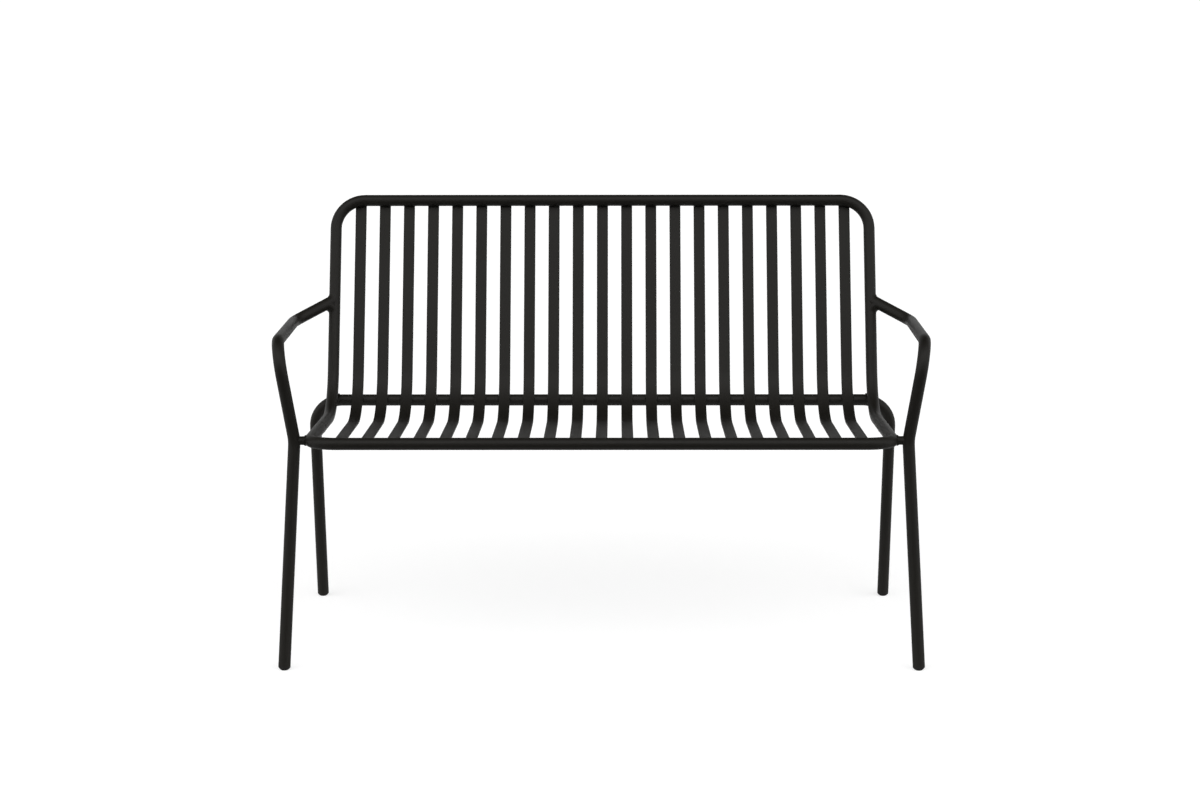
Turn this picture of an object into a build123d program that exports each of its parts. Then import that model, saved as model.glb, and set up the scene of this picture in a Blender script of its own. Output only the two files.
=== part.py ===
"""Garden sofa: a two-seat bench of bent steel tube with flat steel slats.

Everything is in millimetres with +Z up. The sitter looks along -Y, and left means -X, as
seen from the front. The finished model has its origin on the floor, in the middle of its
outline. Until that last step the depths are measured from the axis of the front rail.
"""
import os
from math import cos, radians, sin, sqrt, tan

from build123d import *

# Tube and flat bar
TUBE_DIAMETER = 25.4
TUBE_WALL = 2.0
SLAT_WIDTH = 25.0
SLAT_THICKNESS = 6.0
SLAT_EDGE_RADIUS = 2.5
WELD_GAP = 0.2

# Slats across the seat
SLAT_COUNT = 21
SLAT_PITCH = 54.7
SIDE_PITCH = 55.0

# Seat and back frame, along the axis of its tube
FRONT_RAIL_HEIGHT = 476.5
SEAT_LENGTH = 480.0
SEAT_SLOPE = 3.4
BACK_LENGTH = 489.0
BACK_LEAN = 20.9
FRONT_CORNER_RADIUS = 60.0
TOP_CORNER_RADIUS = 65.0
SEAT_BEND_RADIUS = 130.0
FRAME_SEAM = 240.0

# Rear leg hoop
HOOP_STANDOFF = 42.5
HOOP_TURN = 24.0
HOOP_CORNER_RADIUS = 62.0
REAR_FOOT_DEPTH = 589.0

# Front legs, which run on as the armrests
KNEE_STANDOFF = 31.5
KNEE_SETBACK = 48.0
KNEE_RADIUS = 60.0
FRONT_FOOT_SPLAY = 25.0
FRONT_FOOT_ADVANCE = 10.0
ARM_FRONT_STANDOFF = 58.5
ARM_FRONT_ADVANCE = 5.0
ARM_FRONT_RISE = 208.5
ARM_FRONT_RADIUS = 57.0
ARM_BEND_STANDOFF = 84.0
ARM_BEND_DEPTH = 500.0
ARM_BEND_RISE = 175.5
ARM_BEND_RADIUS = 45.0
ARM_END_RISE = 213.5

# Fillet welds at the armrests, and the spools between the front legs and the seat
ARM_UPPER_WELD_RADIUS = 16.0
ARM_LOWER_WELD_RADIUS = 6.0
ARM_WELD_INSET = 0.2
SPOOL_WAIST = 18.0
SPOOL_FLARE = 25.0

# Plastic glides in the feet
GLIDE_DOME = 7.0
GLIDE_RIM = 2.0
GLIDE_TIP = 10.0
GLIDE_BULGE = 0.5
GLIDE_WEAR = 1.2
GLIDE_STEM = 22.0
GLIDE_STEM_SLACK = 1.5
GLIDE_RIB = 2.0
GLIDE_RIB_COUNT = 3
GLIDE_CLEARANCE = 0.05

# Sizes that follow
TUBE_RADIUS = TUBE_DIAMETER / 2
BORE_RADIUS = TUBE_RADIUS - TUBE_WALL
FRAME_X = (SLAT_COUNT - 1) / 2 * SLAT_PITCH + SIDE_PITCH
SLAT_SETBACK = TUBE_RADIUS - SLAT_THICKNESS / 2
SLAT_END = sqrt(TUBE_RADIUS**2 - SLAT_SETBACK**2)
GLIDE_HEAD = GLIDE_DOME + GLIDE_RIM

# Directions and the corners of the side profile, on the axis of the frame tube
SLOPE = radians(SEAT_SLOPE)
LEAN = radians(BACK_LEAN)
ACROSS = Vector(1, 0, 0)
ALONG_SEAT = Vector(0, cos(SLOPE), -sin(SLOPE))
ALONG_BACK = Vector(0, sin(LEAN), cos(LEAN))
SEAT_UP = Vector(0, sin(SLOPE), cos(SLOPE))
BACK_FRONT = Vector(0, -cos(LEAN), sin(LEAN))
FRONT_AXIS = Vector(0, 0, FRONT_RAIL_HEIGHT)
SEAM_AXIS = FRONT_AXIS + ALONG_SEAT * FRAME_SEAM
BEND_AXIS = FRONT_AXIS + ALONG_SEAT * SEAT_LENGTH
TOP_AXIS = BEND_AXIS + ALONG_BACK * BACK_LENGTH
CORNER_LIFT = (SEAT_UP + BACK_FRONT) * (1 / (1 + SEAT_UP.dot(BACK_FRONT)))
BEND_CENTRE = BEND_AXIS + CORNER_LIFT * SEAT_BEND_RADIUS
ARM_END_Z = FRONT_RAIL_HEIGHT + ARM_END_RISE
ARM_END = BEND_AXIS + ALONG_BACK * ((ARM_END_Z - BEND_AXIS.Z) / cos(LEAN))


def beside(point, x):
    """The same depth and height at another x."""
    return Vector(x, point.Y, point.Z)


def bent(points, radii):
    """Straight runs joined by arcs."""
    return FilletPolyline(*points, radius=radii)


def section_plane(path, x_dir=None):
    """The plane square to a path at its start."""
    return Plane(origin=path @ 0, x_dir=x_dir, z_dir=path % 0)


def tube_along(path):
    """A hollow round tube."""
    ring = Circle(TUBE_RADIUS) - Circle(BORE_RADIUS)
    return sweep(section_plane(path) * ring, path=path)


def rod_along(path, radius=TUBE_RADIUS):
    """A solid rod, which cuts whatever butts against a tube on the same path."""
    return sweep(section_plane(path) * Circle(radius), path=path)


def largest(shape):
    """The biggest solid of a cut, without its offcuts."""
    return max(shape.solids(), key=lambda solid: solid.volume)


def seat_frame_path():
    """Half of the left side rail, the front rail and half of the right side rail."""
    points = [
        beside(SEAM_AXIS, -FRAME_X),
        beside(FRONT_AXIS, -FRAME_X),
        beside(FRONT_AXIS, FRAME_X),
        beside(SEAM_AXIS, FRAME_X),
    ]
    return bent(points, [FRONT_CORNER_RADIUS, FRONT_CORNER_RADIUS])


def back_frame_path():
    """The rest of the side rails, the uprights and the top rail."""
    points = [
        beside(SEAM_AXIS, -FRAME_X),
        beside(BEND_AXIS, -FRAME_X),
        beside(TOP_AXIS, -FRAME_X),
        beside(TOP_AXIS, FRAME_X),
        beside(BEND_AXIS, FRAME_X),
        beside(SEAM_AXIS, FRAME_X),
    ]
    radii = [SEAT_BEND_RADIUS, TOP_CORNER_RADIUS, TOP_CORNER_RADIUS, SEAT_BEND_RADIUS]
    return bent(points, radii)


def slat_path(x):
    """The middle line of a slat, whose underside is flush with the underside of the frame."""
    points = [
        beside(FRONT_AXIS + ALONG_SEAT * SLAT_END - SEAT_UP * SLAT_SETBACK, x),
        beside(BEND_AXIS - CORNER_LIFT * SLAT_SETBACK, x),
        beside(TOP_AXIS - ALONG_BACK * SLAT_END - BACK_FRONT * SLAT_SETBACK, x),
    ]
    return bent(points, [SEAT_BEND_RADIUS + SLAT_SETBACK])


def slat(x, frame_rods):
    """A flat bar that runs from the front rail up to the top rail, coped to both."""
    path = slat_path(x)
    profile = RectangleRounded(SLAT_WIDTH, SLAT_THICKNESS, SLAT_EDGE_RADIUS)
    bar = sweep(section_plane(path, ACROSS) * profile, path=path)
    for rod in frame_rods:
        bar -= rod
    return largest(bar)


def rear_foot(side):
    """Where the axis of a rear leg meets the floor."""
    return Vector(side * (FRAME_X + HOOP_STANDOFF), REAR_FOOT_DEPTH, 0)


def hoop_corner(side):
    """The upper corner of the hoop, whose crossbar lies behind the bend of uprights and slats."""
    turn = LEAN + radians(HOOP_TURN)
    reach = SEAT_BEND_RADIUS + TUBE_DIAMETER + WELD_GAP
    crossbar = BEND_CENTRE + Vector(0, cos(turn), -sin(turn)) * reach
    return beside(crossbar, side * (FRAME_X + HOOP_STANDOFF))


def front_foot(side):
    """Where the axis of a front leg meets the floor."""
    x = FRAME_X + KNEE_STANDOFF + FRONT_FOOT_SPLAY
    return Vector(side * x, -FRONT_FOOT_ADVANCE, 0)


def knee(side):
    """The bend of a front leg beside the seat."""
    z = FRONT_RAIL_HEIGHT - KNEE_SETBACK * tan(SLOPE)
    return Vector(side * (FRAME_X + KNEE_STANDOFF), KNEE_SETBACK, z)


def tube_end(foot, upper):
    """The square lower end of a leg tube, where the rim of its glide begins."""
    return foot + (upper - foot).normalized() * (GLIDE_HEAD - GLIDE_WEAR)


def hoop_path():
    """Rear leg, crossbar and rear leg."""
    left, right = hoop_corner(-1), hoop_corner(1)
    points = [tube_end(rear_foot(-1), left), left, right, tube_end(rear_foot(1), right)]
    return bent(points, [HOOP_CORNER_RADIUS, HOOP_CORNER_RADIUS])


def arm_front(side):
    """The front bend, where a front leg turns back into the armrest."""
    x, z = FRAME_X + ARM_FRONT_STANDOFF, FRONT_RAIL_HEIGHT + ARM_FRONT_RISE
    return Vector(side * x, -ARM_FRONT_ADVANCE, z)


def arm_bend(side):
    """The rear bend, where the armrest turns in and up to its upright."""
    x, z = FRAME_X + ARM_BEND_STANDOFF, FRONT_RAIL_HEIGHT + ARM_BEND_RISE
    return Vector(side * x, ARM_BEND_DEPTH, z)


def leg_path(side):
    """Foot, knee, front of the armrest, its rear bend and its end on the upright."""
    points = [
        tube_end(front_foot(side), knee(side)),
        knee(side),
        arm_front(side),
        arm_bend(side),
        beside(ARM_END, side * FRAME_X),
    ]
    return bent(points, [KNEE_RADIUS, ARM_FRONT_RADIUS, ARM_BEND_RADIUS])


def leg_and_armrest(side, upright_rod):
    """A front leg with its armrest, coped to the upright. The left one mirrors the right."""
    tube = largest(tube_along(leg_path(1)) - upright_rod)
    return tube if side > 0 else mirror(tube, about=Plane.YZ)


def arm_weld(side, upright_rod):
    """The fillets above and below an armrest, where it meets its upright."""
    end = beside(ARM_END, side * FRAME_X)
    forward = (arm_bend(side) - end).normalized()
    fillets = []
    for way, radius in ((1, ARM_UPPER_WELD_RADIUS), (-1, ARM_LOWER_WELD_RADIUS)):
        run = 2 * (TUBE_DIAMETER + radius)
        arm_rod = rod_along(Line(end - forward * TUBE_RADIUS, end + forward * run))
        elbow = bent(
            [end + forward * run, end, end + ALONG_BACK * (way * run)],
            [TUBE_RADIUS + radius],
        )
        wedge = rod_along(elbow, TUBE_RADIUS - ARM_WELD_INSET) - arm_rod - upright_rod
        fillets.append(largest(wedge))
    return Compound(children=fillets)


def leg_spool(side, frame_rod, leg_rod):
    """The waisted spool that is welded between a side rail and a front leg."""
    flare, waist = SPOOL_FLARE / 2, SPOOL_WAIST / 2
    flank = ThreePointArc(
        (0, flare), (KNEE_STANDOFF / 2, waist), (KNEE_STANDOFF, flare)
    )
    outline = flank + Polyline((KNEE_STANDOFF, flare), (KNEE_STANDOFF, 0), (0, 0), (0, flare))
    blank = revolve(make_face(outline), axis=Axis.X)
    start = beside(knee(1), FRAME_X)
    body = Pos(start.X, start.Y, start.Z) * blank
    if side < 0:
        body = mirror(body, about=Plane.YZ)
    return largest(body - frame_rod - leg_rod)


def glide(foot, upper):
    """A foot plug: a domed head cut flat on the floor, and a ribbed stem in the tube."""
    stem = BORE_RADIUS - GLIDE_STEM_SLACK
    tip = GLIDE_TIP / 2
    dome = ThreePointArc(
        (tip, 0),
        ((tip + TUBE_RADIUS) / 2 + GLIDE_BULGE, GLIDE_DOME / 2 - GLIDE_BULGE),
        (TUBE_RADIUS, GLIDE_DOME),
    )
    rest = Polyline(
        (TUBE_RADIUS, GLIDE_DOME),
        (TUBE_RADIUS, GLIDE_HEAD),
        (stem, GLIDE_HEAD),
        (stem, GLIDE_HEAD + GLIDE_STEM),
        (0, GLIDE_HEAD + GLIDE_STEM),
        (0, 0),
        (tip, 0),
    )
    axis = (upper - foot).normalized()
    seat = Plane(origin=foot - axis * GLIDE_WEAR, x_dir=ACROSS, z_dir=axis)
    plug = revolve(make_face(Plane.XZ * (dome + rest)), axis=Axis.Z)
    gap = GLIDE_STEM / (GLIDE_RIB_COUNT + 1)
    for number in range(1, GLIDE_RIB_COUNT + 1):
        rib = Cylinder(BORE_RADIUS - GLIDE_CLEARANCE, GLIDE_RIB)
        plug += Pos(0, 0, GLIDE_HEAD + number * gap) * rib
    below = Box(TUBE_DIAMETER * 2, TUBE_DIAMETER * 2, TUBE_DIAMETER)
    floor_cut = Pos(foot.X, foot.Y, -TUBE_DIAMETER / 2) * below
    return largest(seat * plug - floor_cut)


def build_parts():
    """Every piece by name, with depths still measured from the front rail."""
    seat_rod = rod_along(seat_frame_path())
    back_rod = rod_along(back_frame_path())
    parts = {
        "seat_frame_tube": tube_along(seat_frame_path()),
        "back_frame_tube": tube_along(back_frame_path()),
        "rear_leg_hoop": tube_along(hoop_path()),
    }
    for number in range(SLAT_COUNT):
        x = (number - (SLAT_COUNT - 1) / 2) * SLAT_PITCH
        parts[f"slat_{number + 1:02d}"] = slat(x, [seat_rod, back_rod])
    for word, side in (("left", -1), ("right", 1)):
        parts[f"{word}_leg_and_armrest"] = leg_and_armrest(side, back_rod)
        parts[f"{word}_arm_weld"] = arm_weld(side, back_rod)
        parts[f"{word}_leg_spool"] = leg_spool(side, seat_rod, rod_along(leg_path(side)))
        parts[f"front_{word}_glide"] = glide(front_foot(side), knee(side))
        parts[f"rear_{word}_glide"] = glide(rear_foot(side), hoop_corner(side))
    return parts


def middle_depth(parts):
    """The depth halfway between the foremost and the rearmost point of the model."""
    boxes = [part.bounding_box() for part in parts.values()]
    return (min(box.min.Y for box in boxes) + max(box.max.Y for box in boxes)) / 2


if __name__ == "__main__":
    os.makedirs("parts", exist_ok=True)
    model = build_parts()
    to_origin = Pos(0, -middle_depth(model), 0)
    for name, piece in model.items():
        export_step(to_origin * piece, f"parts/{name}.step")
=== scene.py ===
"""Garden sofa of bent steel tube and flat slats, with a fine-textured black powder coat.

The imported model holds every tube, slat, spool, fillet and glide. This script gives them their
finish and adds the weld beads that are too small to be solids. All lengths are in metres.
"""

import math

import bmesh
import bpy
from mathutils import Matrix, Vector


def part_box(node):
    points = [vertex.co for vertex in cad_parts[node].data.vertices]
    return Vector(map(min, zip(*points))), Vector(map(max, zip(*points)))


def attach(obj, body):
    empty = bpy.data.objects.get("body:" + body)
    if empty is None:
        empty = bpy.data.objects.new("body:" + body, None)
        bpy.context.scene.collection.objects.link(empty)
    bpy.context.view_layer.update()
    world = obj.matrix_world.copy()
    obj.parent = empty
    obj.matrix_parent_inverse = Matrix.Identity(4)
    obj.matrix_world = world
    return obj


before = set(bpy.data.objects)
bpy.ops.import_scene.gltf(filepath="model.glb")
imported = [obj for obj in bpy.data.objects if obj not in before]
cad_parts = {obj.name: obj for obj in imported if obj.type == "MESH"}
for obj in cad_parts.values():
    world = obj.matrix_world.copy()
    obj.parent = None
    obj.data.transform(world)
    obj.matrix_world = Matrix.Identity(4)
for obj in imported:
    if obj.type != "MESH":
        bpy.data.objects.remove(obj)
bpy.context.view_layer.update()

MM = 0.001

# Sections and bends of the pieces in the frame
TUBE_RADIUS = 12.7 * MM
SLAT_WIDTH = 25.0 * MM
SLAT_THICKNESS = 6.0 * MM
SLAT_SETBACK = TUBE_RADIUS - SLAT_THICKNESS / 2
SEAT_BEND_RADIUS = 130.0 * MM
CROSSBAR_GAP = 0.2 * MM
FRAME_SEAM = 240.0 * MM
SPOOL_WAIST_RADIUS = 9.0 * MM
SPOOL_FLARE_RADIUS = 12.5 * MM
KNEE_STANDOFF = 31.5 * MM
HOOP_CORNER_RADIUS = 62.0 * MM
HOOP_CORNER_START = -19.5 * MM

# Angles of the side profile
SEAT_SLOPE = math.radians(3.4)
BACK_LEAN = math.radians(20.9)
CONTACT_TURN = BACK_LEAN + math.radians(24.0)

# Powder coat and glide plastic. Each noise is scale, detail and roughness, but the grain has no
# scale here: its scale and its depth follow from the size of the grain.
COAT_SPECULAR = 0.2
COAT_DARK = (0.0048, 0.0041, 0.0027)
COAT_LIGHT = (0.0076, 0.0067, 0.0050)
COAT_ROUGHNESS = 0.55
COAT_GRAIN = 0.45 * MM
GLIDE_DARK = (0.0054, 0.0049, 0.0041)
GLIDE_LIGHT = (0.0082, 0.0078, 0.0068)
GLIDE_ROUGHNESS = 0.6
GLIDE_GRAIN = 0.9 * MM
GRAIN_SPACING = 1.6
GRAIN_NOISE = (3.0, 0.6)
CLOUD_NOISE = (9.0, 4.0, 0.5)
WAVE_NOISE = (90.0, 1.0, 0.5)
NOISE_RANGE = (0.3, 0.7)
GRAIN_TONE = 0.6
CLOUD_TONE = 0.4
GRAIN_ROUGHNESS = 0.04
CLOUD_ROUGHNESS = 0.03
GRAIN_STRENGTH = 0.3
GRAIN_DEPTH = 0.25
WAVE_STRENGTH = 0.12
WAVE_DEPTH = 0.4 * MM

# Weld beads. A lift, sink or advance without a unit is a share of the bead's radius.
BEAD_STEP = 0.55 * MM
BEAD_MIN_STEPS = 8
BEAD_SIDES = 10
RIPPLE_PITCH = 2.3 * MM
RIPPLE_HEIGHT = 0.1
TAPER = 2.0 * MM
TAPER_END = 0.35
SLAT_BEAD_WIDTH = SLAT_WIDTH - SLAT_THICKNESS / 4
SLAT_BEAD_RADIUS = 1.9 * MM
GROOVE_BEAD_RADIUS = 1.7 * MM
GROOVE_BEAD_SINK = 0.7
GROOVE_BEAD_ADVANCE = 0.6
CROSSBAR_BEAD_RADIUS = 1.8 * MM
CROSSBAR_BEAD_TURN = 0.52
CROSSBAR_BEAD_LIFT = 0.3
HOOP_BEAD_RADIUS = 2.4 * MM
HOOP_BEAD_TURN = 0.62
HOOP_BEAD_LIFT = 0.4
HOOP_BEAD_INNER = 15.0 * MM
HOOP_BEAD_OUTER = 8.0 * MM
SPOOL_BEAD_RADIUS = 1.6 * MM
SPOOL_BEAD_TRIES = 12
SEAM_BEAD_RADIUS = 0.9 * MM
SEAM_BEAD_SINK = 0.55 * MM

# Studio. Strengths of 1 are white, and each pair says where something starts and ends: heights
# are sines of the elevation, and facings are 1 towards the front of the seat, 0 to its sides
# and -1 behind it.
WHITE = (1, 1, 1, 1)
OVERHEAD_LIGHT = 2.6
OVERHEAD_LOW = (0.3, 0.5)
OVERHEAD_HIGH = (0.98, 0.8)
OVERHEAD_FACING = (-0.7, 1.0)
ZENITH_SHARE = 0.1
SIDE_LIGHT = 1.7
SIDE_REAR = (-0.45, -0.1)
SIDE_FRONT = (0.95, 0.7)
SIDE_TOP = (0.5, 0.3)
BACKDROP_EDGE = (-0.1, -0.45)
BACKDROP_TOP = (0.52, 0.4)
NEARLY_ZERO = 0.0001

# Floor. The camera sees its colour and lift. The light on the sofa comes from its tones at the
# front and at the back, and the dark tone at the front is painted shade. Each pair says at
# which depths something starts and ends.
FLOOR_SIZE = 240.0
FLOOR_COLOUR = 0.45
FLOOR_LIFT = 0.65
# Painted shade: the floor's dark tone at the front, seen only by rays that light the sofa.
FLOOR_FRONT_PAINTED_SHADE = 0.12
FLOOR_BACK = 0.95
FLOOR_PAINTED_SHADE_DEPTHS = (-1.6, 0.4)
FLOOR_BACKGROUND = (-0.2, 1.0)

# The photograph's camera
SENSOR_WIDTH = 36.0
LENS = 76.725
CAMERA_PLACE = Vector((0.0311, -5.4437, 1.5310))
CAMERA_PITCH = math.radians(10.663)
CAMERA_TURN = math.radians(0.371)
CAMERA_ROLL = math.radians(-0.092)

# Directions, and the corners of the side profile on the axis of the frame tube
ACROSS = Vector((1, 0, 0))
ALONG_SEAT = Vector((0, math.cos(SEAT_SLOPE), -math.sin(SEAT_SLOPE)))
SEAT_UP = Vector((0, math.sin(SEAT_SLOPE), math.cos(SEAT_SLOPE)))
ALONG_BACK = Vector((0, math.sin(BACK_LEAN), math.cos(BACK_LEAN)))
BACK_FRONT = Vector((0, -math.cos(BACK_LEAN), math.sin(BACK_LEAN)))

seat_low, seat_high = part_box("seat_frame_tube")
back_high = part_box("back_frame_tube")[1]
FRAME_X = back_high[0] - TUBE_RADIUS
FRONT_AXIS = Vector((0, seat_low[1] + TUBE_RADIUS, seat_high[2] - TUBE_RADIUS))
TOP_AXIS = Vector((0, back_high[1] - TUBE_RADIUS, back_high[2] - TUBE_RADIUS))


def bend_axis():
    """Where the axis of the seat meets the axis of the back."""
    reach = TOP_AXIS - FRONT_AXIS
    length = reach.cross(ALONG_BACK).x / ALONG_SEAT.cross(ALONG_BACK).x
    return FRONT_AXIS + ALONG_SEAT * length


CORNER_LIFT = (SEAT_UP + BACK_FRONT) / (1 + SEAT_UP.dot(BACK_FRONT))
BEND_CENTRE = bend_axis() + CORNER_LIFT * SEAT_BEND_RADIUS
CROSSBAR_REACH = SEAT_BEND_RADIUS + 2 * TUBE_RADIUS + CROSSBAR_GAP
TO_CROSSBAR = Vector((0, math.cos(CONTACT_TURN), -math.sin(CONTACT_TURN)))
CROSSBAR_AXIS = BEND_CENTRE + TO_CROSSBAR * CROSSBAR_REACH


def material_tree(material):
    """An emptied node tree and its output node."""
    material.use_nodes = True
    tree = material.node_tree
    tree.nodes.clear()
    return tree, tree.nodes.new("ShaderNodeOutputMaterial")


def worked(tree, operation, *values):
    """The result of a Math node on sockets or numbers."""
    node = tree.nodes.new("ShaderNodeMath")
    node.operation = operation
    for socket, value in zip(node.inputs, values):
        if isinstance(value, float):
            socket.default_value = value
        else:
            tree.links.new(value, socket)
    return node.outputs["Value"]


def product(tree, result, *others):
    """Sockets and numbers multiplied with one another."""
    for other in others:
        result = worked(tree, "MULTIPLY", result, other)
    return result


def ramp(tree, value, places, low=0.0, high=1.0, smooth=True):
    """A step from low to high between two places, smooth or straight."""
    node = tree.nodes.new("ShaderNodeMapRange")
    node.interpolation_type = "SMOOTHSTEP" if smooth else "LINEAR"
    node.inputs["From Min"].default_value = places[0]
    node.inputs["From Max"].default_value = places[1]
    node.inputs["To Min"].default_value = low
    node.inputs["To Max"].default_value = high
    tree.links.new(value, node.inputs["Value"])
    return node.outputs["Result"]


def powder_coat(name, dark, light, roughness, grain):
    """A fine-textured matt powder coat: a pebbled grain over a long, faint waviness."""
    material = bpy.data.materials.new(name)
    tree, output = material_tree(material)
    nodes, links = tree.nodes, tree.links
    shader = nodes.new("ShaderNodeBsdfPrincipled")
    shader.inputs["Specular IOR Level"].default_value = COAT_SPECULAR
    links.new(shader.outputs["BSDF"], output.inputs["Surface"])
    place = nodes.new("ShaderNodeTexCoord").outputs["Object"]

    def noise(scale, detail, rough):
        texture = nodes.new("ShaderNodeTexNoise")
        texture.inputs["Scale"].default_value = scale
        texture.inputs["Detail"].default_value = detail
        texture.inputs["Roughness"].default_value = rough
        links.new(place, texture.inputs["Vector"])
        return texture.outputs["Fac"]

    def ranged(value, low, high):
        return ramp(tree, value, NOISE_RANGE, low, high, smooth=False)

    def bump(height, strength, distance, below=None):
        node = nodes.new("ShaderNodeBump")
        node.inputs["Strength"].default_value = strength
        node.inputs["Distance"].default_value = distance
        links.new(height, node.inputs["Height"])
        if below:
            links.new(below, node.inputs["Normal"])
        return node.outputs["Normal"]

    fine = noise(1 / (grain * GRAIN_SPACING), *GRAIN_NOISE)
    cloudy = noise(*CLOUD_NOISE)

    mixed = nodes.new("ShaderNodeMix")
    mixed.data_type = "RGBA"
    mixed.inputs["A"].default_value = (*dark, 1)
    mixed.inputs["B"].default_value = (*light, 1)
    cloud_tone = ranged(cloudy, 0.0, CLOUD_TONE)
    tone = worked(tree, "MULTIPLY_ADD", ranged(fine, 0.0, 1.0), GRAIN_TONE, cloud_tone)
    links.new(tone, mixed.inputs["Factor"])
    links.new(mixed.outputs["Result"], shader.inputs["Base Color"])

    grain_rough = ranged(fine, -GRAIN_ROUGHNESS, GRAIN_ROUGHNESS)
    cloud_rough = ranged(cloudy, roughness - CLOUD_ROUGHNESS, roughness + CLOUD_ROUGHNESS)
    links.new(worked(tree, "ADD", grain_rough, cloud_rough), shader.inputs["Roughness"])

    wavy = bump(noise(*WAVE_NOISE), WAVE_STRENGTH, WAVE_DEPTH)
    grainy = bump(fine, GRAIN_STRENGTH, grain * GRAIN_DEPTH, below=wavy)
    links.new(grainy, shader.inputs["Normal"])
    return material


tube_coat, slat_coat, weld_coat = (
    powder_coat(name, COAT_DARK, COAT_LIGHT, COAT_ROUGHNESS, COAT_GRAIN)
    for name in ("tube_coat", "slat_coat", "weld_coat")
)
glide_plastic = powder_coat(
    "glide_plastic", GLIDE_DARK, GLIDE_LIGHT, GLIDE_ROUGHNESS, GLIDE_GRAIN
)

for name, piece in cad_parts.items():
    if name.endswith("glide"):
        coat = glide_plastic
    elif name.startswith("slat"):
        coat = slat_coat
    elif name.endswith(("weld", "spool")):
        coat = weld_coat
    else:
        coat = tube_coat
    piece.data.materials.clear()
    piece.data.materials.append(coat)


def spread(length):
    """How many steps a bead of this length is divided into."""
    return max(BEAD_MIN_STEPS, round(length / BEAD_STEP))


def bead(mesh, points, outward, radius, closed=False):
    """A round, rippled weld bead along points, tapered to both ends unless it is closed.

    The outward directions, one for each point, are where its first side lies.
    """
    count = len(points)
    steps = [(points[i] - points[i - 1]).length for i in range(1, count)]
    length = sum(steps) + ((points[0] - points[-1]).length if closed else 0)
    ripples = max(1, round(length / RIPPLE_PITCH))
    rings, place = [], 0.0
    for i, point in enumerate(points):
        ahead = points[(i + 1) % count] if closed else points[min(i + 1, count - 1)]
        behind = points[i - 1] if closed else points[max(i - 1, 0)]
        along = (ahead - behind).normalized()
        first = (outward[i] - along * outward[i].dot(along)).normalized()
        second = along.cross(first)
        size = radius * (1 + RIPPLE_HEIGHT * math.sin(math.tau * ripples * place / length))
        if not closed:
            edge = min(place, length - place) / TAPER
            size *= TAPER_END + (1 - TAPER_END) * math.sqrt(min(max(edge, 0.0), 1.0))
        ring = []
        for side in range(BEAD_SIDES):
            turn = math.tau * side / BEAD_SIDES
            offset = first * math.cos(turn) + second * math.sin(turn)
            ring.append(mesh.verts.new(point + offset * size))
        rings.append(ring)
        if i < count - 1:
            place += steps[i]
    pairs = list(zip(rings, rings[1:]))
    if closed:
        pairs.append((rings[-1], rings[0]))
    for ring, after in pairs:
        for side in range(BEAD_SIDES):
            nearby = (side + 1) % BEAD_SIDES
            mesh.faces.new((ring[side], ring[nearby], after[nearby], after[side]))
    if not closed:
        mesh.faces.new(list(reversed(rings[0])))
        mesh.faces.new(rings[-1])


def straight_bead(mesh, middle, outward, radius):
    """A bead across a slat, from left to right."""
    count = spread(SLAT_BEAD_WIDTH)
    points = [
        middle + ACROSS * (SLAT_BEAD_WIDTH * (i / count - 0.5)) for i in range(count + 1)
    ]
    bead(mesh, points, [outward] * len(points), radius)


def closed_bead(mesh, centre, place, length, radius):
    """A bead all round a joint, where place gives its point for each turn."""
    count = spread(length)
    points = [place(math.tau * i / count) for i in range(count)]
    bead(mesh, points, [point - centre for point in points], radius, closed=True)


def finished(mesh, name):
    """The beads as one smooth object that rides on the frame."""
    bmesh.ops.recalc_face_normals(mesh, faces=mesh.faces[:])
    for face in mesh.faces:
        face.smooth = True
    data = bpy.data.meshes.new(name)
    mesh.to_mesh(data)
    mesh.free()
    piece = bpy.data.objects.new(name, data)
    bpy.context.scene.collection.objects.link(piece)
    data.materials.append(weld_coat)
    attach(piece, "root")


def slat_beads():
    """Beads above and below every slat's ends, and down both its edges on the crossbar."""
    mesh = bmesh.new()
    face = SLAT_SETBACK - SLAT_THICKNESS / 2
    face_reach = math.sqrt(TUBE_RADIUS**2 - face**2)
    groove = TUBE_RADIUS - GROOVE_BEAD_SINK * GROOVE_BEAD_RADIUS
    groove_reach = math.sqrt(TUBE_RADIUS**2 - groove**2)
    groove_reach += GROOVE_BEAD_ADVANCE * GROOVE_BEAD_RADIUS
    crossbar_reach = TUBE_RADIUS + CROSSBAR_BEAD_LIFT * CROSSBAR_BEAD_RADIUS
    count = spread(2 * CROSSBAR_BEAD_TURN * crossbar_reach)
    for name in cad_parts:
        if not name.startswith("slat"):
            continue
        low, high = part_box(name)
        shift = ACROSS * ((low[0] + high[0]) / 2)
        for axis, inward, upper in (
            (FRONT_AXIS, ALONG_SEAT, SEAT_UP),
            (TOP_AXIS, -ALONG_BACK, BACK_FRONT),
        ):
            on_face = axis + shift + inward * face_reach - upper * face
            straight_bead(mesh, on_face, upper, SLAT_BEAD_RADIUS)
            in_groove = axis + shift + inward * groove_reach - upper * groove
            straight_bead(mesh, in_groove, upper, GROOVE_BEAD_RADIUS)
        for side in (-1, 1):
            middle = CROSSBAR_AXIS + shift + ACROSS * (side * SLAT_WIDTH / 2)
            points = []
            for i in range(count + 1):
                turn = Matrix.Rotation(CROSSBAR_BEAD_TURN * (2 * i / count - 1), 3, "X")
                points.append(middle + turn @ -TO_CROSSBAR * crossbar_reach)
            bead(mesh, points, [ACROSS] * len(points), CROSSBAR_BEAD_RADIUS)
    finished(mesh, "slat_weld_beads")


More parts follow.
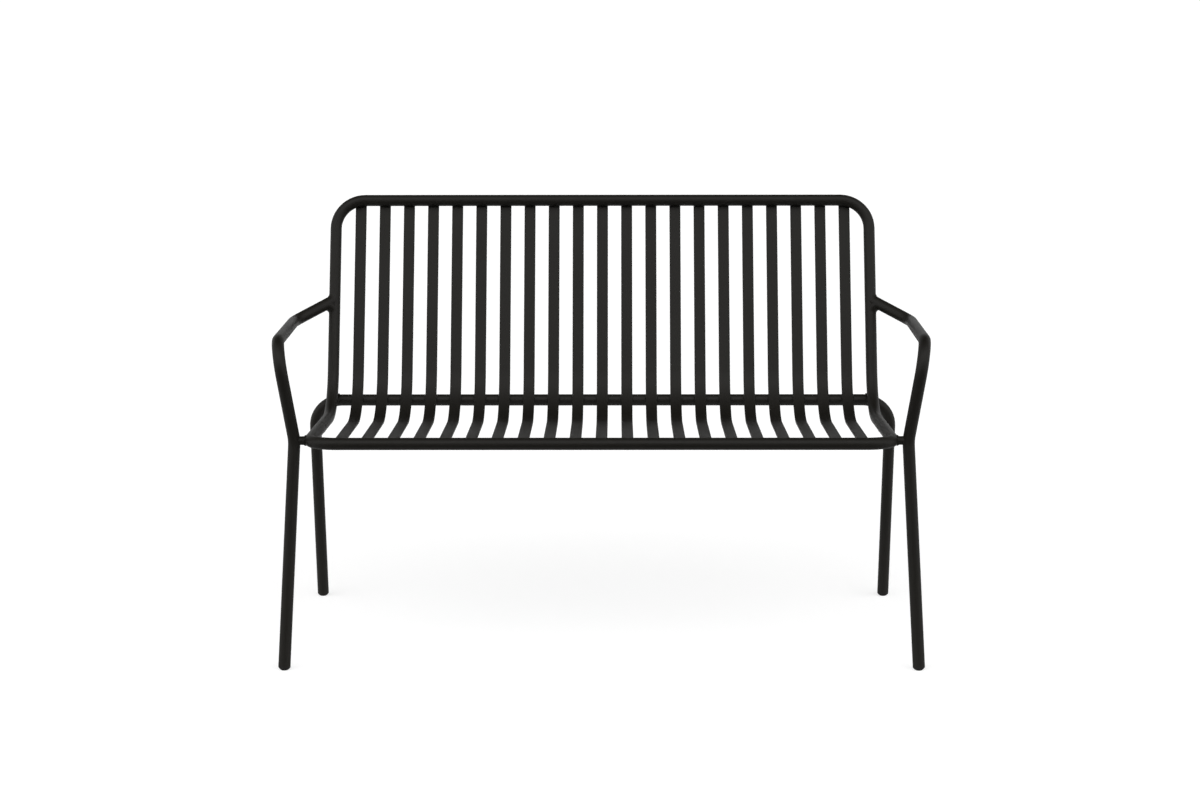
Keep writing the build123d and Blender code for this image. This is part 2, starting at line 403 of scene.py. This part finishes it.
def spool_bead(mesh, side):
    """The bead between a spool and its side rail."""
    low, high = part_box("right_leg_spool")
    axis = Vector((side * FRAME_X, (low[1] + high[1]) / 2, (low[2] + high[2]) / 2))
    sagitta = SPOOL_FLARE_RADIUS - SPOOL_WAIST_RADIUS
    flank = (KNEE_STANDOFF**2 / 4 + sagitta**2) / (2 * sagitta)

    def place(turn):
        reach = TUBE_RADIUS
        for _ in range(SPOOL_BEAD_TRIES):
            middle = reach - KNEE_STANDOFF / 2
            size = SPOOL_WAIST_RADIUS + flank - math.sqrt(flank**2 - middle**2)
            reach = math.sqrt(TUBE_RADIUS**2 - (size * math.sin(turn)) ** 2)
        return axis + Vector((side * reach, size * math.cos(turn), size * math.sin(turn)))

    centre = axis + ACROSS * (side * TUBE_RADIUS)
    closed_bead(mesh, centre, place, math.tau * SPOOL_WAIST_RADIUS, SPOOL_BEAD_RADIUS)


def hoop_bead(mesh, side, way):
    """A bead on the crossbar, across the back of an upright and just past its inner edge."""
    reach = TUBE_RADIUS + HOOP_BEAD_LIFT * HOOP_BEAD_RADIUS
    out = Matrix.Rotation(way * HOOP_BEAD_TURN, 3, "X") @ -TO_CROSSBAR
    start = CROSSBAR_AXIS + out * reach + ACROSS * (side * (FRAME_X - HOOP_BEAD_INNER))
    length = HOOP_BEAD_INNER + HOOP_BEAD_OUTER
    count = spread(length)
    points = []
    for i in range(count + 1):
        along = length * i / count
        bent = max(0.0, along - HOOP_BEAD_INNER - HOOP_CORNER_START) ** 2
        drop = TO_CROSSBAR * (bent / (2 * HOOP_CORNER_RADIUS))
        points.append(start + ACROSS * (side * along) + drop)
    bead(mesh, points, [out] * len(points), HOOP_BEAD_RADIUS)


def seam_bead(mesh, side):
    """The dressed butt seam in a side rail."""
    centre = FRONT_AXIS + ALONG_SEAT * FRAME_SEAM + ACROSS * (side * FRAME_X)
    size = TUBE_RADIUS - SEAM_BEAD_SINK

    def place(turn):
        return centre + (ACROSS * math.cos(turn) + SEAT_UP * math.sin(turn)) * size

    closed_bead(mesh, centre, place, math.tau * size, SEAM_BEAD_RADIUS)


def frame_beads():
    """Beads at the spools, the hoop and the seams of the side rails."""
    mesh = bmesh.new()
    for side in (-1, 1):
        spool_bead(mesh, side)
        hoop_bead(mesh, side, 1)
        hoop_bead(mesh, side, -1)
        seam_bead(mesh, side)
    finished(mesh, "frame_weld_beads")


def background_share(tree, behind):
    """How much a ray shows the white background.

    It is 1 for rays from the camera, and behind for rays in gloss and through glass.
    """
    rays = tree.nodes.new("ShaderNodeLightPath").outputs
    indirect = worked(tree, "MAXIMUM", rays["Is Glossy Ray"], rays["Is Transmission Ray"])
    return worked(tree, "MAXIMUM", rays["Is Camera Ray"], product(tree, indirect, behind))


def studio_world():
    """Soft light from high in front and from the sides, before a white backdrop.

    Only the direction in the room counts, by its height and by how far it faces the front.
    """
    world = bpy.data.worlds.new("studio")
    bpy.context.scene.world = world
    world.use_nodes = True
    tree = world.node_tree
    nodes, links = tree.nodes, tree.links
    nodes.clear()
    place = nodes.new("ShaderNodeTexCoord")
    parts = nodes.new("ShaderNodeSeparateXYZ")
    links.new(place.outputs["Generated"], parts.inputs["Vector"])
    height = parts.outputs["Z"]
    level_squared = worked(tree, "SUBTRACT", 1.0, product(tree, height, height))
    level = worked(tree, "SQRT", worked(tree, "MAXIMUM", NEARLY_ZERO, level_squared))
    facing = worked(tree, "DIVIDE", product(tree, parts.outputs["Y"], -1.0), level)

    overhead = product(
        tree,
        ramp(tree, height, OVERHEAD_LOW),
        ramp(tree, height, OVERHEAD_HIGH, ZENITH_SHARE, 1.0),
        ramp(tree, facing, OVERHEAD_FACING, 0.0, OVERHEAD_LIGHT),
    )
    beside = product(
        tree,
        ramp(tree, facing, SIDE_REAR),
        ramp(tree, facing, SIDE_FRONT),
        ramp(tree, height, SIDE_TOP),
        SIDE_LIGHT,
    )
    backdrop = product(
        tree, ramp(tree, facing, BACKDROP_EDGE), ramp(tree, height, BACKDROP_TOP)
    )
    room = worked(tree, "ADD", worked(tree, "ADD", overhead, beside), backdrop)

    light = nodes.new("ShaderNodeBackground")
    light.inputs["Color"].default_value = WHITE
    links.new(room, light.inputs["Strength"])
    white = nodes.new("ShaderNodeBackground")
    white.inputs["Color"].default_value = WHITE
    pick = nodes.new("ShaderNodeMixShader")
    links.new(background_share(tree, backdrop), pick.inputs[0])
    links.new(light.outputs[0], pick.inputs[1])
    links.new(white.outputs[0], pick.inputs[2])
    output = nodes.new("ShaderNodeOutputWorld")
    links.new(pick.outputs[0], output.inputs["Surface"])


def studio_floor():
    """A white floor that keeps a faint shadow of the sofa. In the tone that throws light onto
    the sofa, it has painted shade towards the front.
    """
    bpy.ops.mesh.primitive_plane_add(size=FLOOR_SIZE)
    floor = bpy.context.object
    floor.name = "floor"
    material = bpy.data.materials.new("floor")
    tree, output = material_tree(material)
    nodes, links = tree.nodes, tree.links
    place = nodes.new("ShaderNodeNewGeometry")
    parts = nodes.new("ShaderNodeSeparateXYZ")
    links.new(place.outputs["Position"], parts.inputs["Vector"])
    depth = parts.outputs["Y"]
    # Painted shade: for rays other than the camera's, the floor's tone darkens towards the
    # front.
    painted_front_shade = ramp(tree, depth, FLOOR_PAINTED_SHADE_DEPTHS, FLOOR_FRONT_PAINTED_SHADE, FLOOR_BACK)
    seen = background_share(tree, ramp(tree, depth, FLOOR_BACKGROUND))
    unseen = worked(tree, "SUBTRACT", 1.0, seen)
    paper = nodes.new("ShaderNodeBsdfDiffuse")
    colour = worked(
        tree, "ADD", product(tree, painted_front_shade, unseen), product(tree, seen, FLOOR_COLOUR)
    )
    links.new(colour, paper.inputs["Color"])
    lift = nodes.new("ShaderNodeEmission")
    links.new(product(tree, seen, FLOOR_LIFT), lift.inputs["Strength"])
    both = nodes.new("ShaderNodeAddShader")
    links.new(paper.outputs["BSDF"], both.inputs[0])
    links.new(lift.outputs["Emission"], both.inputs[1])
    links.new(both.outputs["Shader"], output.inputs["Surface"])
    floor.data.materials.append(material)


def photograph_camera():
    """The camera at the photograph's place, with its view transform."""
    lens = bpy.data.cameras.new("camera")
    lens.lens = LENS
    lens.sensor_width = SENSOR_WIDTH
    camera = bpy.data.objects.new("camera", lens)
    camera.location = CAMERA_PLACE
    turn = Matrix.Rotation(CAMERA_TURN, 3, "Z")
    pitch = Matrix.Rotation(math.pi / 2 - CAMERA_PITCH, 3, "X")
    roll = Matrix.Rotation(CAMERA_ROLL, 3, "Z")
    camera.rotation_euler = (turn @ pitch @ roll).to_euler()
    scene = bpy.context.scene
    scene.collection.objects.link(camera)
    scene.camera = camera
    scene.view_settings.view_transform = "Standard"


slat_beads()
frame_beads()
studio_world()
studio_floor()
photograph_camera()
